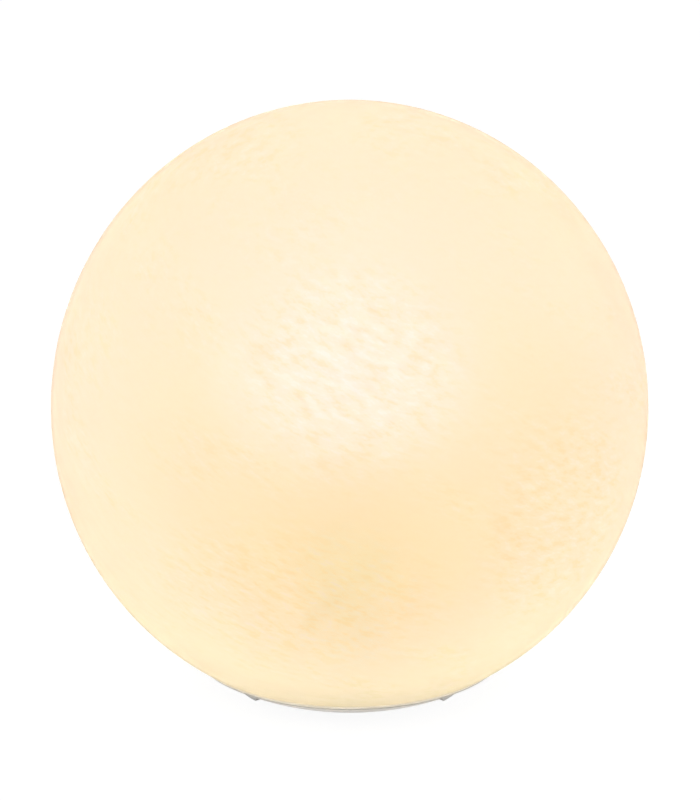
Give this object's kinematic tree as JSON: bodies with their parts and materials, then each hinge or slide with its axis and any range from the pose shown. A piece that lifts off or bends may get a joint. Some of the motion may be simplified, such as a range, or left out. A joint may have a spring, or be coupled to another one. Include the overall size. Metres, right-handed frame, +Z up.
{
  "type": "globe table lamp",
  "caption": "Lit opal glass globe on a shallow white three-footed base; the globe turns and lifts off, sprung clips centre it, and a screw-in bulb stands on a stemmed lampholder inside.",
  "frame": {"origin": "on the table, under the globe's axis, midway in the bounding box", "axes": "+Z up along the globe's axis; the front faces -Y and the cord inlet faces +Y"},
  "size_m": [0.25, 0.25, 0.2491],
  "materials": {
    "opal_glass": "satin opal glass with a wispy alabaster pattern, lit from inside",
    "gasket_rubber": "pale translucent silicone",
    "white_plastic": "fine satin moulded white",
    "white_soft_plastic": "smooth",
    "zinc_steel": "bright zinc plating",
    "white_enamel": "gloss white enamel",
    "spring_steel": "rolled spring steel",
    "holder_plastic": "satin black thermoplastic",
    "porcelain": "unglazed steatite",
    "brass": "pressed brass",
    "solder": "tinned tip",
    "black_insulator": "glossy black insulator",
    "nickel": "nickel plated screw cap",
    "bulb_plastic": "satin white",
    "aluminium": "pressed sheet",
    "circuit_board": "white solder mask",
    "led_yellow": "phosphor",
    "diffuser": "frosted diffuser, lit"
  },
  "bodies": {
    "base": {"base_dish": "white_plastic", "bottom_plate": "white_plastic", "bottom_plate_screws": "zinc_steel", "cord_gland": "white_soft_plastic", "cord_clamp": "white_plastic", "cord_clamp_screws": "zinc_steel", "nipple_tube": "zinc_steel", "nipple_locknut": "zinc_steel", "nipple_washer": "zinc_steel", "stem_sleeve": "white_enamel", "holder_cap": "holder_plastic", "holder_locking_screw": "zinc_steel", "holder_skirt": "holder_plastic", "holder_core": "porcelain", "screw_shell": "brass", "side_contact": "brass", "live_strap": "brass", "terminal_live": "brass", "terminal_neutral": "brass", "terminal_screws": "zinc_steel", "contact_spring": "spring_steel"},
    "globe_seat": {"rim_gasket": "gasket_rubber"},
    "globe": {"glass_globe": "opal_glass"},
    "clip_1": {"globe_clip_1": "spring_steel"},
    "clip_2": {"globe_clip_2": "spring_steel"},
    "clip_3": {"globe_clip_3": "spring_steel"},
    "contact": {"centre_contact": "brass"},
    "bulb_tip": {"bulb_contact": "solder"},
    "bulb": {"bulb_cap_insulator": "black_insulator", "bulb_cap": "nickel", "bulb_housing": "bulb_plastic", "bulb_heatsink": "aluminium", "bulb_driver_board": "circuit_board", "bulb_led_board": "circuit_board", "bulb_leds": "led_yellow", "bulb_dome": "diffuser"}
  },
  "joints": [
    {"name": "globe_turn", "type": "hinge", "parent": "base", "child": "globe_seat", "pos_m": [0, 0, 0.012], "axis": [0, 0, 1], "continuous": true},
    {"name": "globe_lift", "type": "slide", "parent": "globe_seat", "child": "globe", "axis": [0, 0, 1], "range_m": [0, 0.18]},
    {"name": "clip_1_flex", "type": "hinge", "parent": "base", "child": "clip_1", "pos_m": [0, -0.05403, 0.0107], "axis": [-1, 0, 0], "range_deg": [0, 8], "stiffness_Nm_per_rad": 0.3, "springref_deg": -2.86},
    {"name": "clip_2_flex", "type": "hinge", "parent": "base", "child": "clip_2", "pos_m": [0.04679, 0.02702, 0.0107], "axis": [0.5, -0.866, 0], "range_deg": [0, 8], "stiffness_Nm_per_rad": 0.3, "springref_deg": -2.86},
    {"name": "clip_3_flex", "type": "hinge", "parent": "base", "child": "clip_3", "pos_m": [-0.04679, 0.02702, 0.0107], "axis": [0.5, 0.866, 0], "range_deg": [0, 8], "stiffness_Nm_per_rad": 0.3, "springref_deg": -2.86},
    {"name": "contact_press", "type": "slide", "parent": "base", "child": "contact", "axis": [0, 0, -1], "range_m": [0, 0.0012], "stiffness_N_per_m": 800, "springref_m": -0.001, "deforming": ["contact_spring"]},
    {"name": "bulb_feed", "type": "slide", "parent": "base", "child": "bulb_tip", "axis": [0, 0, 1], "range_m": [0, 0.0218]},
    {"name": "bulb_turn", "type": "hinge", "parent": "bulb_tip", "child": "bulb", "pos_m": [0, 0, 0.062], "axis": [0, 0, 1], "range_deg": [0, 2160]}
  ],
  "couplings": [
    {"joint": "bulb_feed", "follows": "bulb_turn", "m_per_rad": 0.00057614}
  ]
}
